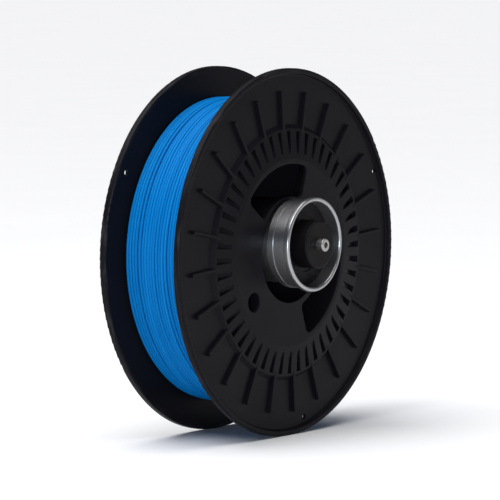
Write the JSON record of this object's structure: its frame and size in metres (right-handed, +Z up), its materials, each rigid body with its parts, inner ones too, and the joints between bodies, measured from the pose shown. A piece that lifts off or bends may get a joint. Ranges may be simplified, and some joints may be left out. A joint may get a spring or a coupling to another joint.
{
  "type": "filament spool",
  "caption": "Filament spool with windowed black flanges, wound with blue filament, hanging on a polished ball-raced hub.",
  "frame": {"origin": "on the hub's axis, at the shoulder of the mounting boss", "axes": "+Z up; -Y along the boss, away from the spool, towards the near side; +X to the right seen from the near side"},
  "size_m": [0.2, 0.0815, 0.2],
  "materials": {
    "black_plastic": "satin moulded black",
    "blue_filament": "semi-gloss extruded azure",
    "polished_hub": "polished, fine turning marks",
    "carrier_metal": "turned",
    "bearing_steel": "ground",
    "shield_steel": "pressed sheet",
    "cage_brass": "machined",
    "axle_steel": "ground",
    "boss_black": "satin black powder coat",
    "screw_steel": "bright zinc",
    "ring_steel": "phosphated spring steel"
  },
  "bodies": {
    "axle": {"axle": "axle_steel", "front_inner_race": "bearing_steel", "rear_inner_race": "bearing_steel", "bearing_spacer": "carrier_metal", "mounting_boss": "boss_black", "cap_screw": "screw_steel", "retaining_ring": "ring_steel"},
    "spool": {"front_flange": "black_plastic", "rear_flange": "black_plastic", "winding_drum": "black_plastic", "bore_tube": "black_plastic", "filament_winding": "blue_filament"},
    "hub": {"hub_shell": "polished_hub", "front_dust_cap": "black_plastic", "front_bearing_carrier": "carrier_metal", "rear_bearing_carrier": "carrier_metal", "front_outer_race": "bearing_steel", "rear_outer_race": "bearing_steel", "front_bearing_shields": "shield_steel", "rear_bearing_shields": "shield_steel"},
    "front_ball_set": {"front_bearing_cage": "cage_brass", "front_bearing_balls": "bearing_steel"},
    "rear_ball_set": {"rear_bearing_cage": "cage_brass", "rear_bearing_balls": "bearing_steel"}
  },
  "joints": [
    {"name": "spool_spin", "type": "hinge", "parent": "axle", "child": "spool", "pos_m": [0, 0.0365, -0.0052], "axis": [0, 1, 0], "continuous": true},
    {"name": "hub_spin", "type": "hinge", "parent": "axle", "child": "hub", "pos_m": [0, 0.0365, 0], "axis": [0, 1, 0], "continuous": true},
    {"name": "front_balls_spin", "type": "hinge", "parent": "axle", "child": "front_ball_set", "pos_m": [0, 0.0075, 0], "axis": [0, 1, 0], "continuous": true},
    {"name": "rear_balls_spin", "type": "hinge", "parent": "axle", "child": "rear_ball_set", "pos_m": [0, 0.0565, 0], "axis": [0, 1, 0], "continuous": true}
  ],
  "couplings": [
    {"joint": "hub_spin", "follows": "spool_spin", "ratio": 1.2558},
    {"joint": "front_balls_spin", "follows": "spool_spin", "ratio": 0.77735},
    {"joint": "rear_balls_spin", "follows": "spool_spin", "ratio": 0.77735}
  ]
}
